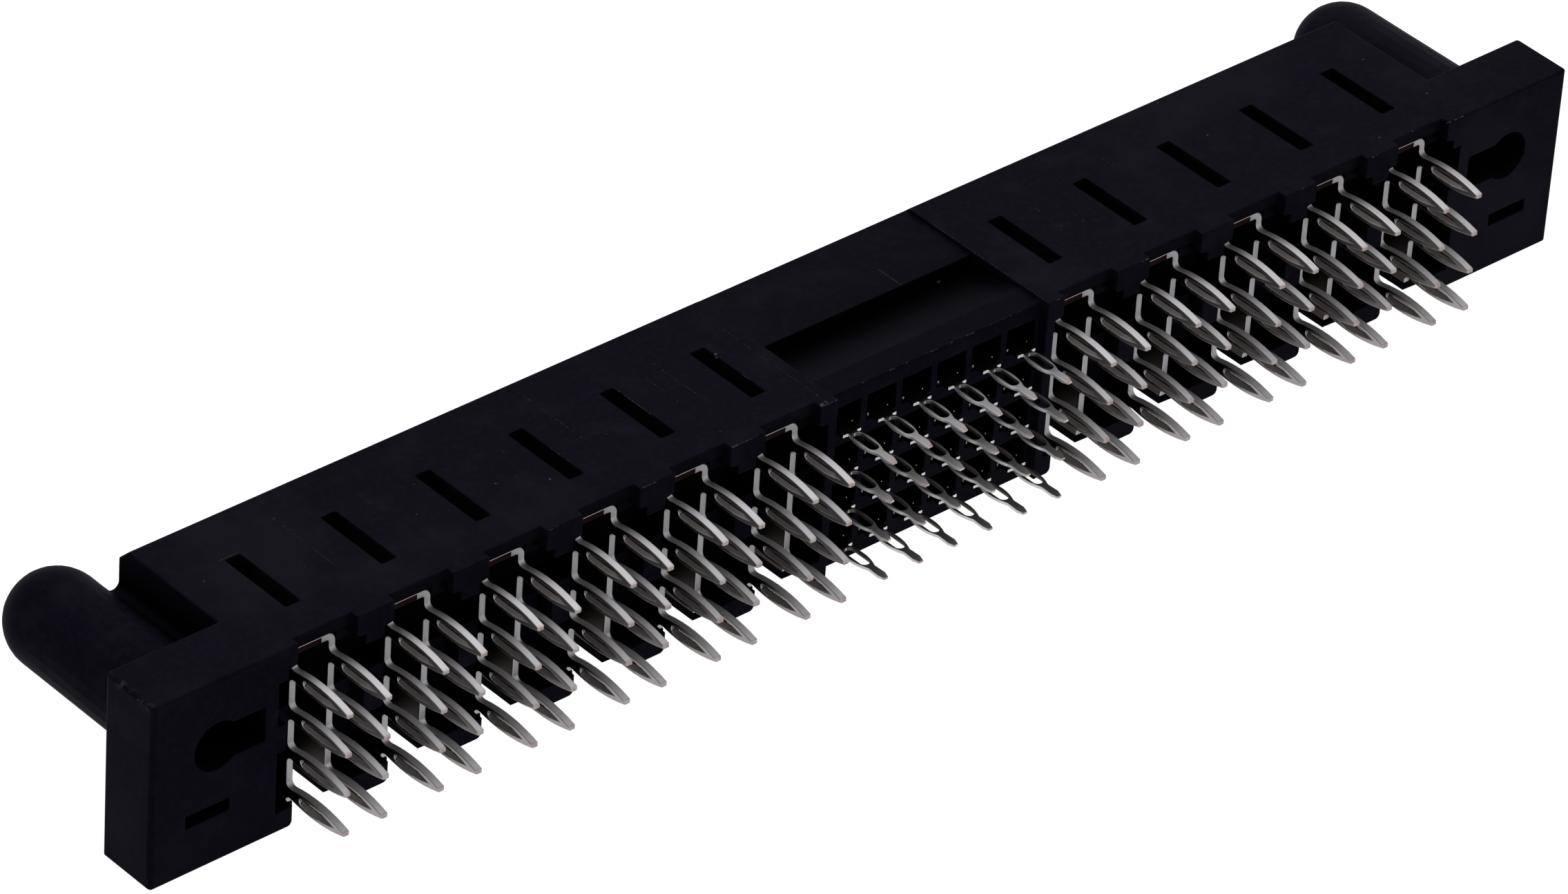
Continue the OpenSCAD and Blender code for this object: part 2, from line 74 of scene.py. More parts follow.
# %% Camera
camera_right = Vector((0.752729, -0.655762, 0.058100))
camera_up = Vector((0.342720, 0.465684, 0.815893))
camera_back = Vector((-0.562088, -0.594234, 0.575276))
camera_place = Vector((-285.547, -300.044, 294.335)) * MM
camera_data = bpy.data.cameras.new("camera")
camera_data.sensor_width = 36.0
camera_data.lens = 212.658
camera_data.shift_x = -0.0038938
camera_data.shift_y = -0.0003297
camera_data.clip_start = 0.01
camera = bpy.data.objects.new("camera", camera_data)
camera_axes = Matrix((camera_right, camera_up, camera_back)).transposed().to_4x4()
camera.matrix_world = Matrix.Translation(camera_place) @ camera_axes
bpy.context.scene.collection.objects.link(camera)
bpy.context.scene.camera = camera
bpy.context.scene.view_settings.view_transform = "Standard"
print("camera distance in mm:", round(camera.location.length / MM, 1))

# %% [markdown]
# A material's numbers vary over its surface through a small net of nodes. Writing that
# net as sums is easier to read than wiring it, so one class wraps a socket and turns
# each operator into the node that does it.

# %% Shader sums
class Wire:
    """One output of a node, which can be used in sums."""

    def __init__(self, net, socket):
        self.net = net
        self.socket = socket

    def __add__(self, other):
        return self.net.maths("ADD", self, other)

    def __mul__(self, other):
        return self.net.maths("MULTIPLY", self, other)

    def __sub__(self, other):
        return self.net.maths("SUBTRACT", self, other)

    def __rsub__(self, other):
        return self.net.maths("SUBTRACT", other, self)

    __radd__ = __add__
    __rmul__ = __mul__


print("shader sums ready")

# %% [markdown]
# A second class holds the net itself. One method makes every node: its settings come
# first, because they decide which sockets it has, and then the values or wires of those.
# Materials and the world both end in a node that takes the results.

# %% Nets of nodes
class Net:
    """The nodes of a material or of the world."""

    def __init__(self, owner, end):
        owner.use_nodes = True
        self.tree = owner.node_tree
        self.end = self.tree.nodes[end]

    def node(self, kind, settings=None, *in_order, **by_name):
        """Adds a node, sets its settings, then its sockets, and returns its outputs by name."""
        made = self.tree.nodes.new(kind)
        for name, value in (settings or {}).items():
            setattr(made, name, value)
        sockets = [socket for socket in made.inputs if socket.enabled]
        for socket, value in zip(sockets, in_order):
            self.feed(socket, value)
        for name, value in by_name.items():
            self.feed(next(s for s in sockets if s.name == name.replace("_", " ")), value)
        return {out.name: Wire(self, out) for out in made.outputs if out.enabled}

    def feed(self, socket, value):
        """Links a wire to a socket, or sets the socket's own value."""
        if isinstance(value, Wire):
            self.tree.links.new(value.socket, socket)
        elif isinstance(value, tuple) and socket.type == "RGBA":
            socket.default_value = (*value, 1.0)
        else:
            socket.default_value = value

    def set(self, **values):
        """Feeds the sockets of the node that the net ends in."""
        for name, value in values.items():
            self.feed(self.end.inputs[name.replace("_", " ")], value)

    def maths(self, operation, *values):
        return self.node("ShaderNodeMath", {"operation": operation}, *values)["Value"]

    def mix(self, share, first, second):
        """Mixes two colours."""
        return self.node("ShaderNodeMix", {"data_type": "RGBA"}, share, first, second)["Result"]

    def background_rays(self):
        """1 for rays that show the background itself: seen, mirrored or looked at through a piece."""
        ray = self.node("ShaderNodeLightPath")
        seen = self.maths("MAXIMUM", ray["Is Camera Ray"], ray["Is Glossy Ray"])
        return self.maths("MAXIMUM", seen, ray["Is Transmission Ray"])


print("nets ready")

# %% [markdown]
# The finishes of this connector are all built from soft noise: as it is, cut into patches
# by a smooth step, or stretched along one direction. So a finish knows these three, and
# takes its places from the piece's own coordinates, which stay when the camera moves.

# %% Finishes
class Finish(Net):
    """A material under construction."""

    def __init__(self, name):
        self.material = bpy.data.materials.new(name)
        super().__init__(self.material, "Principled BSDF")
        self.place = self.node("ShaderNodeTexCoord")["Object"]

    def coordinate(self, axis):
        """The place along one axis, in metres."""
        return self.node("ShaderNodeSeparateXYZ", None, self.place)[axis]

    def stretched(self, x, y, z):
        """The surface's own place, with each direction scaled."""
        return self.node("ShaderNodeVectorMath", {"operation": "MULTIPLY"}, self.place, (x, y, z))["Vector"]

    def smooth(self, value, low, high):
        """0 below low, 1 above high, and a soft step between."""
        step = {"interpolation_type": "SMOOTHSTEP"}
        return self.node("ShaderNodeMapRange", step, Value=value, From_Min=low, From_Max=high)["Result"]

    def speckle(self, scale, detail, roughness, place=None):
        """Soft noise from 0 to 1."""
        settings = {"Scale": scale, "Detail": detail, "Roughness": roughness}
        return self.node("ShaderNodeTexNoise", None, Vector=place or self.place, **settings)["Fac"]

    def bump(self, height, distance, strength):
        sockets = {"Height": height, "Distance": distance, "Strength": strength}
        self.set(Normal=self.node("ShaderNodeBump", None, **sockets)["Normal"])


print("finishes ready")

# %% [markdown]
# The housing is a black glass-filled plastic, matt and very dark, with a touch of blue.
# Its skin is not one flat tone: the flow of the melt leaves broad clouds, handling leaves
# worn patches and scuffs that run along the top, and dust sits in the grain. One flat
# colour would look like paint, so each of these is a thin layer over the last. All of
# them are a few hundredths of a tone, so the colours below are close together.

# %% Housing plastic
plastic = Finish("housing_plastic")
cloud = plastic.speckle(130.0, 3.0, 0.6)
patch = plastic.smooth(plastic.speckle(420.0, 2.0, 0.5), 0.5, 0.8)
fleck = plastic.smooth(plastic.speckle(2300.0, 3.0, 0.7), 0.42, 0.72)
worn = plastic.smooth(plastic.speckle(70.0, 4.0, 0.65), 0.5, 0.68)
scuff_place = plastic.stretched(0.35, 1.0, 1.0)
scuff = plastic.smooth(plastic.speckle(1500.0, 4.0, 0.7, scuff_place), 0.64, 0.8)
handled = plastic.mix(cloud, (0.0032, 0.0025, 0.0065), (0.0052, 0.0042, 0.0096))
handled = plastic.mix(patch * 0.7, handled, (0.0095, 0.0082, 0.0150))
handled = plastic.mix(fleck * 0.35, handled, (0.0125, 0.0108, 0.0185))
handled = plastic.mix(worn * 0.6, handled, (0.0130, 0.0116, 0.0185))
handled = plastic.mix(scuff * 0.4, handled, (0.018, 0.0165, 0.024))
grain = plastic.speckle(7000.0, 2.0, 0.6)
plastic.set(Roughness=0.52 + 0.1 * cloud + 0.08 * scuff, Specular_IOR_Level=0.012)
plastic.bump(grain * 0.5 + cloud, 0.012 * MM, 0.3)
print("nodes in the plastic:", len(plastic.tree.nodes))

# %% [markdown]
# Two things depend on where a place lies on the part. The top edge of the left flange gets
# a streaky painted highlight, where its rounded corner catches the light. And the photograph
# shows the cells and slots far darker than the faces around them: light that reaches them
# has to find its way past their walls. Rendered light alone left them too pale for such a
# dark plastic, so shade is painted into the colour there. It follows a number called openness, stored in the
# mesh further down.

# %% Painted highlight on the flange edge and painted shade in the cells
# A streaky painted highlight along the rounded top edge of the left flange.
streaky_highlight = plastic.smooth(plastic.speckle(1800.0, 4.0, 0.7, scuff_place), 0.5, 0.7)
left_end = plastic.smooth(plastic.coordinate("X") * -1.0, 50.3 * MM, 50.7 * MM)
upper_edge = plastic.smooth(plastic.coordinate("Z"), 11.2 * MM, 11.65 * MM)
handled = plastic.mix(streaky_highlight * (left_end * upper_edge) * 0.7, handled, (0.06, 0.058, 0.07))
open_share = plastic.node("ShaderNodeAttribute", {"attribute_name": "openness"})["Fac"]
# Painted shade: where little of the space over a point is open, the colour goes to near black.
unshaded_share = plastic.smooth(open_share, 0.2, 0.9)
plastic.set(Base_Color=plastic.mix(unshaded_share, (0.0007, 0.0006, 0.0010), handled))
print("nodes in the plastic:", len(plastic.tree.nodes))

# %% [markdown]
# The contacts are stamped from a copper alloy sheet that was plated first. The plating is
# never even: it clouds a little, and the rolling leaves streaks along the tails. At the
# very tips, where the die closed last, the copper looks through. Near the housing, which
# shades them, the broad faces look almost black and a little brown, and they pale towards
# the tips: that shade is painted into the colour and fades out along the tails. One function
# makes all of that, so that the metals differ only in their tones, their gloss and those lengths.

# %% Plated metal
copper = (0.30, 0.15, 0.11)
painted_root_shade = (0.026, 0.019, 0.015)
COPPER_FADE = 0.5


def stamped(name, pale, dark, roughness, tip_start, root_shade_fade=None):
    """A plated finish. Beyond tip_start, in mm, its tips show copper. root_shade_fade is where a painted
    shade near the housing fades out.
    """
    finish = Finish(name)
    flow = finish.speckle(900.0, 3.0, 0.6)
    streak = finish.speckle(2600.0, 3.0, 0.6, finish.stretched(1.0, 0.25, 1.0))
    reach = front_y * MM - finish.coordinate("Y")
    plating = finish.mix(flow, pale, dark)
    # Painted shade: near the housing the colour goes to a dark brown, fading out along the tails.
    if root_shade_fade:
        plating = finish.mix(finish.smooth(reach, root_shade_fade[0] * MM, root_shade_fade[1] * MM), painted_root_shade, plating)
    bare = finish.smooth(reach, tip_start * MM, (tip_start + COPPER_FADE) * MM)
    finish.set(Base_Color=finish.mix(bare * finish.smooth(streak, 0.3, 0.6), plating, copper))
    finish.set(Metallic=1.0, Roughness=roughness + 0.12 * streak)
    finish.bump(flow * 0.4 + streak * 0.6, 0.004 * MM, 0.4)
    return finish


print("plated metal ready")

# %% [markdown]
# A stamped part has several kinds of surface. The broad rolled faces are smooth and
# mirror what is around them. The sheared edges are coarse, scatter the light and look
# paler. The insides of the eyes were torn, and the rims that face up get a painted highlight.
# Deep in an eye, and on a stretch of the strap's front edge, the colour is a painted shade,
# so these two scatter a dark tone and don't shine as metal.

# %% Contact metals
# Settings that make the painted-shade finishes dull and not metal.
DULL_SHADE = {"Metallic": 0.0, "Specular_IOR_Level": 0.05}
# The power contacts' broad faces get the painted shade near the housing.
power_rolled = stamped(
    "power_contact_rolled", (0.40, 0.375, 0.375), (0.32, 0.295, 0.29), 0.36, 3.4, root_shade_fade=(-0.6, 2.8)
)
power_sheared = stamped("power_contact_sheared", (0.45, 0.44, 0.455), (0.38, 0.37, 0.38), 0.46, 3.3)
power_torn = stamped("contact_torn", (0.46, 0.425, 0.415), (0.32, 0.285, 0.275), 0.45, 3.4)
# The strap's front edge: a dark red-brown painted shade.
strap_shade_finish = stamped("strap_front_painted_shade", (0.022, 0.0035, 0.0035), (0.008, 0.0015, 0.0015), 0.5, 3.4)
strap_shade_finish.set(**DULL_SHADE)
# The upward rims of the eyes: a painted highlight.
eye_rim_highlight = stamped("contact_eye_rim_painted_highlight", (0.66, 0.64, 0.64), (0.52, 0.49, 0.49), 0.42, 3.4)
# Deep in the eyes: a painted shade, dull and not metal.
eye_shade_finish = stamped("contact_eye_painted_shade", (0.030, 0.022, 0.019), (0.014, 0.010, 0.009), 0.6, 3.4)
eye_shade_finish.set(**DULL_SHADE)
# The signal contacts' broad faces get the painted shade inside and near their cells.
signal_rolled = stamped(
    "signal_contact_rolled", (0.32, 0.31, 0.32), (0.25, 0.24, 0.247), 0.3, 3.05, root_shade_fade=(-0.15, 0.35)
)
signal_sheared = stamped("signal_contact_sheared", (0.74, 0.73, 0.74), (0.60, 0.59, 0.59), 0.48, 3.1)
signal_torn = stamped("signal_eye_torn", (0.12, 0.105, 0.10), (0.07, 0.06, 0.055), 0.5, 3.4)
power_metals = [power_rolled, power_sheared, power_torn, strap_shade_finish, eye_rim_highlight, eye_shade_finish]
signal_metals = [signal_rolled, signal_sheared, signal_torn]
print("metals:", [finish.material.name for finish in power_metals + signal_metals])

# %% [markdown]
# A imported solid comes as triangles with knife-sharp edges. Nothing real has those. Each
# piece is therefore copied, and its flat faces are cut again into few triangles. A few
# shapes also need lines cut across a piece, so that its points can be moved there.

# %% Clean copies
X_AXIS = Vector((1, 0, 0))
Y_AXIS = Vector((0, 1, 0))
Z_AXIS = Vector((0, 0, 1))
WELD = 0.0005
FLAT = math.radians(0.4)


def cut_across(work, axis, level, parts=None):
    """Cuts a mesh, or only some parts of it, along the plane at level mm on an axis."""
    parts = parts or work.verts[:] + work.edges[:] + work.faces[:]
    return bmesh.ops.bisect_plane(work, geom=parts, plane_co=axis * (level * MM), plane_no=axis)["geom"]


def clean_copy(node, name, shape=None):
    """A welded copy of a solid, with each flat face cut into few, well-shaped triangles."""
    mesh = nodes[node].data.copy()
    mesh.name = name
    work = bmesh.new()
    work.from_mesh(mesh)
    bmesh.ops.remove_doubles(work, verts=work.verts, dist=WELD * MM)
    bmesh.ops.dissolve_limit(work, angle_limit=FLAT, verts=work.verts, edges=work.edges)
    if shape:
        shape(work)
    bmesh.ops.triangulate(work, faces=work.faces, quad_method="BEAUTY", ngon_method="BEAUTY")
    work.to_mesh(mesh)
    work.free()
    mesh.materials.clear()
    return mesh


print("clean copies ready")

# %% [markdown]
# Every edge gets a bevel width, stored in the mesh as a weight. Edges that run on into
# each other form one chain and share one width, because a bevel whose width jumps half
# way along a line throws up spikes.

# %% Edge chains
WIDEST = 0.4
SHARP = math.radians(30)
SLIGHT = math.radians(12)
STRAIGHT = math.radians(145)


def chains(edges):
    """Groups the edges that run on into each other with little turn."""
    leader = {edge: edge for edge in edges}

    def lead(edge):
        while leader[edge] is not edge:
            edge = leader[edge]
        return edge

    for edge in edges:
        for vert in edge.verts:
            ahead = edge.other_vert(vert).co - vert.co
            for other in vert.link_edges:
                if other is edge or other not in leader:
                    continue
                if ahead.angle(other.other_vert(vert).co - vert.co, 0.0) > STRAIGHT:
                    leader[lead(edge)] = lead(other)
    groups = {}
    for edge in edges:
        groups.setdefault(lead(edge), []).append(edge)
    return groups.values()


def weigh_edges(mesh, width_of):
    """Stores a bevel width in mm. width_of takes the middle in mm and the run of a chain's longest edge."""
    work = bmesh.new()
    work.from_mesh(mesh)
    weights = work.edges.layers.float.new("bevel_weight_edge")
    sharp = []
    for edge in work.edges:
        bend = edge.calc_face_angle(0.0)
        if bend > SHARP or (bend > SLIGHT and edge.calc_length() > 1.0 * MM):
            sharp.append(edge)
    for chain in chains(sharp):
        longest = max(chain, key=lambda edge: edge.calc_length())
        start, end = (v.co / MM for v in longest.verts)
        width = width_of((start + end) / 2, (end - start).normalized())
        for edge in chain:
            edge[weights] = width / WIDEST
    work.to_mesh(mesh)
    work.free()
    return len(sharp)


print("edge chains ready")

# %% [markdown]
# Blender's bevel then rounds the weighted edges. The light on a bevelled part looks right
# only if its flat faces keep their own direction right up to the rounding. So the bevel
# marks the faces that it makes, and each point's normal comes from the old faces around
# it, or, between two rows of new faces, from those.

# %% Rounded edges
OLD_FACE = 0
NEW_FACE = 1


def bevelled(mesh, segments):
    """A copy of the mesh with its weighted edges bevelled and the new faces marked."""
    mesh.materials.append(None)
    mesh.materials.append(None)
    carrier = bpy.data.objects.new("carrier", mesh)
    bpy.context.scene.collection.objects.link(carrier)
    bevel = carrier.modifiers.new("soft edges", "BEVEL")
    bevel.width = WIDEST * MM
    bevel.segments = segments
    bevel.limit_method = "WEIGHT"
    bevel.use_clamp_overlap = False
    bevel.loop_slide = False
    bevel.material = NEW_FACE
    made = bpy.data.meshes.new_from_object(carrier.evaluated_get(bpy.context.evaluated_depsgraph_get()))
    bpy.data.objects.remove(carrier)
    return made


def set_normals(mesh):
    """Gives each point the direction of its old faces or, where it has none, of its new ones."""
    old = [Vector() for vert in mesh.vertices]
    new = [Vector() for vert in mesh.vertices]
    for face in mesh.polygons:
        face.use_smooth = True
        share = face.normal * face.area / MM / MM
        kept = old if face.material_index == OLD_FACE else new
        for index in face.vertices:
            kept[index] += share
    normals = [(a if a.length > 1e-7 else b).normalized() for a, b in zip(old, new)]
    mesh.normals_split_custom_set_from_vertices(normals)


def rounded(name, mesh, segments, shape=None):
    """The mesh with its weighted edges rounded. shape may move the points before the normals are set."""
    made = bevelled(mesh, segments)
    if shape:
        work = bmesh.new()
        work.from_mesh(made)
        shape(work)
        work.to_mesh(made)
        work.free()
    set_normals(made)
    made.materials.clear()
    made.name = name
    return made


print("rounded edges ready")

# %% [markdown]
# A dressed mesh takes the place of its solid: it rides on the same body, the solid
# stays hidden, and the mesh takes its finishes.

# %% Pieces
def add_piece(name, mesh, finishes, stands_for):
    """Adds a mesh as a piece that rides on the connector and may stand for a solid."""
    piece = bpy.data.objects.new(name, mesh)
    bpy.context.scene.collection.objects.link(piece)
    for finish in finishes:
        mesh.materials.append(finish.material)
    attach(piece, "root")
    if stands_for:
        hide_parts(stands_for)


print("pieces ready")

# %% [markdown]
# The mould's outer corners are the roundest on the real housing, because that is where
# the steel is easiest to polish and where the part gets knocked about. The edges of the
# slots and cells are almost sharp. The upright edges behind the low sills stay sharp:
# they turn inwards, and a rounding there would reach below the floor.

# %% Housing edges
HAIR = 0.02
FLANGE_LENGTH = 7.29
FLANGE_DEPTH = 4.0
MOUTH_DEPTH = 1.2
SILL_HEIGHT = 1.3
flange_x = housing_high.x
body_x = flange_x - FLANGE_LENGTH


def on(value, level):
    """Whether a coordinate lies on a level, within a hair."""
    return abs(value - level) < HAIR


def housing_edge(middle, run):
    """The bevel width in mm of one edge of the housing."""
    upright = abs(run.z) > 0.9
    outer_height = middle.z < HAIR or on(middle.z, top_z)
    outer_depth = on(middle.y, front_y) or on(middle.y, front_y + FLANGE_DEPTH)
    if on(middle.y, front_y + MOUTH_DEPTH) and middle.z < SILL_HEIGHT and upright:
        return 0.0
    if on(abs(middle.x), flange_x):
        return 0.32 if upright else 0.22
    if abs(middle.x) > body_x + HAIR and outer_height and outer_depth:
        return 0.16
    if on(abs(middle.x), body_x):
        return 0.12
    if outer_height and abs(run.x) > 0.9:
        return 0.08
    return 0.045


print("flanges start at x =", round(body_x, 2), "mm")

# %% [markdown]
# In the photograph the mouths of the power bays are wider below a shoulder near their
# top, and the gaps between the ends of the webs are as wide as the mouths. In the solid
# the mouths are straight. The points of their side walls are moved outwards here, which
# keeps every face, where cutting new openings would leave thin slivers.

# %% Bay mouths
MOUTH_HALF = 1.95
WIDE_HALF = 2.54
SHOULDER = 10.45
SHOULDER_SLOPE = 0.12
BAY_CEILING = 9.7
WEB_LOW = 5.2
WEB_HIGH = 6.9
SLACK = 0.01


def nearest(value, places):
    return min(places, key=lambda place: abs(place - value))


def widen_mouths(work):
    """Widens the bays' mouths below their shoulders, and with them the gaps between the webs' ends."""
    cut_across(work, Z_AXIS, SHOULDER)
    cut_across(work, Z_AXIS, SHOULDER - SHOULDER_SLOPE)
    bays = [(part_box(node)[0].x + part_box(node)[1].x) / 2 / MM for node in power_nodes]
    moved = 0
    for vert in work.verts:
        spot = vert.co / MM
        in_web = WEB_LOW - SLACK < spot.z < WEB_HIGH + SLACK
        under_shoulder = BAY_CEILING - SLACK < spot.z < SHOULDER - SHOULDER_SLOPE + HAIR
        if spot.y > front_y + MOUTH_DEPTH + SLACK or not (in_web or under_shoulder):
            continue
        bay = nearest(spot.x, bays)
        if abs(abs(spot.x - bay) - MOUTH_HALF) < SLACK / 2:
            vert.co.x = (bay + math.copysign(WIDE_HALF, spot.x - bay)) * MM
            moved += 1
    print("points of the mouths moved:", moved)


housing_mesh = clean_copy("housing", "housing_cut", widen_mouths)
print("housing edges rounded:", weigh_edges(housing_mesh, housing_edge))
housing_mesh = rounded("housing_dressed", housing_mesh, 3)
for face in housing_mesh.polygons:
    face.material_index = 0

# %% [markdown]
# How dark a place is depends on how much of the space over it is open. That could be
# worked out by a node while the picture is made, but then it would be lost when the
# model is exported. So rays are cast here from every point of the housing, and the share
# that meets no plastic is stored in the mesh, where the plastic's colour reads it to paint shade into the
# cells and slots.

# %% Openness
RAY_COUNT = 24
RAY_LENGTH = 15
RAY_LIFT = 0.03
GOLDEN_ANGLE = math.pi * (3 - math.sqrt(5))


def half_sphere():
    """Directions spread over a half sphere, denser around its pole."""
    directions = []
    for index in range(RAY_COUNT):
        radius = math.sqrt((index + 0.5) / RAY_COUNT)
        angle = index * GOLDEN_ANGLE
        upward = math.sqrt(1 - radius * radius)
        directions.append(Vector((radius * math.cos(angle), radius * math.sin(angle), upward)))
    return directions


def store_openness(mesh):
    """Stores for each point the share of the half sphere over it that the mesh leaves open."""
    corners = [vert.co for vert in mesh.vertices]
    tree = BVHTree.FromPolygons(corners, [face.vertices for face in mesh.polygons])
    directions = half_sphere()
    shares = []
    for vert in mesh.vertices:
        upright = vert.normal.to_track_quat("Z", "Y")
        start = vert.co + vert.normal * RAY_LIFT * MM
        hits = [tree.ray_cast(start, upright @ ray, RAY_LENGTH * MM)[0] for ray in directions]
        shares.append(hits.count(None) / RAY_COUNT)
    mesh.attributes.new("openness", "FLOAT", "POINT").data.foreach_set("value", shares)
    print("openness from", round(min(shares), 2), "to", round(max(shares), 2))


store_openness(housing_mesh)
add_piece("housing_dressed", housing_mesh, [plastic], "housing")
print("housing faces:", len(housing_mesh.polygons))

# %% [markdown]
# Where the halves and slides of a mould meet, a little plastic creeps into the gap and
# stays on the part as flash: a hair-thin broken line of raised plastic. It is thinner
# and rougher than the skin, and its colour is painted paler, a painted highlight for the
# light that such thin ridges catch. Such lines could be painted, but low ridges and lumps catch the light
# from any side, as the real ones do.

# %% Flash finish and helpers
flash = Finish("flash_and_painted_highlights")
flash_tone = flash.speckle(5000.0, 2.0, 0.6)
# Paler than the skin: a painted highlight for the light that the thin ridges catch.
flash.set(Base_Color=flash.mix(flash_tone, (0.018, 0.0185, 0.028), (0.062, 0.064, 0.084)))
flash.set(Roughness=0.45, Specular_IOR_Level=0.12)
dice = random.Random(7)
FOOT_DEPTH = 0.012
DASH_LEAST = 0.05


def from_seat(x, y, z):
    """A point given in mm from the connector's middle, its seating face and its underside."""
    return Vector((x, y + front_y, z)) * MM


def add_ridge(work, start, end, width, height):
    """A low ridge from start to end whose crest is a little uneven."""
    run = end - start
    side = Vector((run.y, -run.x, 0)).normalized() * width * MM / 2
    sink = Vector((0, 0, -FOOT_DEPTH * MM))
    crest = Vector((0, 0, height * MM))
    feet = [start + side + sink, start - side + sink, end - side + sink, end + side + sink]
    first_top = start + run * 0.15 + crest * dice.uniform(0.5, 1)
    last_top = end - run * 0.15 + crest * dice.uniform(0.5, 1)
    foot = [work.verts.new(p) for p in feet]
    top = [work.verts.new(p) for p in (first_top, last_top)]
    work.faces.new((foot[0], foot[1], foot[2], foot[3]))
    work.faces.new((foot[1], foot[0], top[0]))
    work.faces.new((foot[3], foot[2], top[1]))
    work.faces.new((foot[0], foot[3], top[1], top[0]))
    work.faces.new((foot[2], foot[1], top[0], top[1]))


def add_dashes(work, first, last, level, width, shown):
    """A broken line of ridges at one level, of which the share shown is there."""
    start = from_seat(*first, level)
    end = from_seat(*last, level)
    length = (end - start).length / MM
    along = (end - start).normalized() * MM
    done = 0.0
    while done < length:
        dash = min(dice.uniform(0.06, 0.3), length - done)
        if dash > DASH_LEAST and dice.random() < shown:
            here = width * dice.uniform(0.4, 1.1)
            add_ridge(work, start + along * done, start + along * (done + dash), here, here * 0.6)
        done += dash + dice.uniform(0.02, 0.2) * (1.3 - shown)


def add_crumb(work, centre, size):
    """A rough lump of plastic, half sunk in the surface."""
    turn = Matrix.Rotation(dice.uniform(0, 3), 4, "Z")
    flattened = Matrix.Diagonal((size * MM, size * MM * 0.6, size * MM * 0.5, 1))
    matrix = Matrix.Translation(centre) @ (turn @ flattened)
    made = bmesh.ops.create_icosphere(work, subdivisions=2, radius=1.0, matrix=matrix)
    for vert in made["verts"]:
        vert.co += Vector([dice.uniform(-0.1, 0.1) for axis in range(3)]) * size * MM


print("flash helpers ready")

# %% [markdown]
# The top of this housing shows witness lines that run from front to back between the
# slots, burrs along its front edges, and a few crumbs. Their places are read off the
# photograph. A regular pattern would look machined, and a wholly random one would
# miss that they follow the mould.

# %% Where the flash and the painted highlights lie
# Witness lines from front to back: place along the connector, start, end, share that shows
witness_lines = [
    (-36.9, 5.0, 7.1, 0.2),
    (-35.55, 4.5, 6.0, 0.9),
    (-35.55, 7.0, 9.4, 0.55),
    (-30.6, 7.4, 8.7, 0.8),
    (-29.3, 7.3, 8.5, 0.4),
    (-22.9, 4.4, 5.1, 0.9),
    (-22.9, 0.0, 1.7, 0.35),
    (-22.9, 6.0, 11.4, 0.12),
    (-17.85, 4.9, 10.6, 0.55),
    (-11.55, 4.8, 9.0, 0.6),
    (-10.3, 4.6, 8.8, 0.85),
    (-5.15, 0.2, 8.7, 0.7),
    (-5.15, 9.3, 11.4, 0.2),
    (-4.58, 2.0, 2.8, 0.5),
    (16.5, 7.0, 8.6, 0.6),
    (16.5, 4.3, 5.8, 0.4),
    (17.8, 4.8, 6.3, 0.5),
    (22.9, 7.6, 8.9, 0.3),
]
# Burrs along the front edge of the top: start and end along the connector, width, share
front_burrs = [
    (-24.6, -23.9, 0.06, 0.6),
    (-18.2, -17.1, 0.07, 0.9),
    (-12.0, -11.55, 0.14, 1.0),
    (-11.5, -10.2, 0.07, 0.8),
    (-5.6, -4.5, 0.08, 0.9),
    (11.4, 12.2, 0.06, 0.5),
    (17.6, 18.3, 0.07, 0.7),
    (22.6, 23.2, 0.07, 0.6),
    (29.1, 30.7, 0.06, 0.4),
    (35.3, 35.8, 0.07, 0.6),
    (41.2, 42.6, 0.09, 0.7),
]
# Dashes along the front edge of the lower middle section: start, end, share
middle_burrs = [
    (-2.2, -1.1, 0.6),
    (-0.5, 0.2, 0.6),
    (0.6, 1.1, 0.7),
    (1.5, 1.8, 0.7),
    (2.2, 3.5, 0.8),
    (4.0, 4.4, 0.5),
    (5.0, 6.1, 0.7),
    (7.0, 9.4, 0.9),
]
# Painted highlights on the rims beside the slots: place along the connector, start, end
slot_rim_highlights = [(-19.78, 4.2, 5.8), (-13.47, 4.9, 8.1), (-7.1, 4.2, 4.8)]
# Crumbs on the top: place along the connector, depth, size
crumbs = [
    (-41.9, 7.15, 0.07),
    (-35.55, 9.35, 0.06),
    (-29.3, 5.2, 0.07),
    (-27.7, 7.4, 0.06),
    (-24.2, 4.9, 0.08),
    (-22.0, 6.9, 0.05),
    (-21.65, 3.5, 0.11),
    (-16.6, 4.9, 0.05),
    (-7.05, 7.1, 0.13),
    (-7.2, 6.85, 0.08),
    (-11.55, 1.5, 0.05),
    (29.3, 7.1, 0.08),
    (29.3, 11.2, 0.08),
    (37.0, 1.2, 0.1),
    (39.0, 0.6, 0.07),
    (41.9, 7.6, 0.08),
    (42.4, 2.9, 0.09),
    (-5.55, 0.12, 0.16),
    (-5.2, 0.2, 0.1),
]
print("witness lines:", len(witness_lines), "burrs:", len(front_burrs) + len(middle_burrs))

# %% [markdown]
# All of it goes into one mesh, since it is one skin of plastic with the housing; the ridges
# along the slot rims, the first slot's back edge and a block's left edge are painted highlights.
# The middle section lies a little lower and stands a little back, and its sloping pocket has flash along its
# left side and one lump at its back.

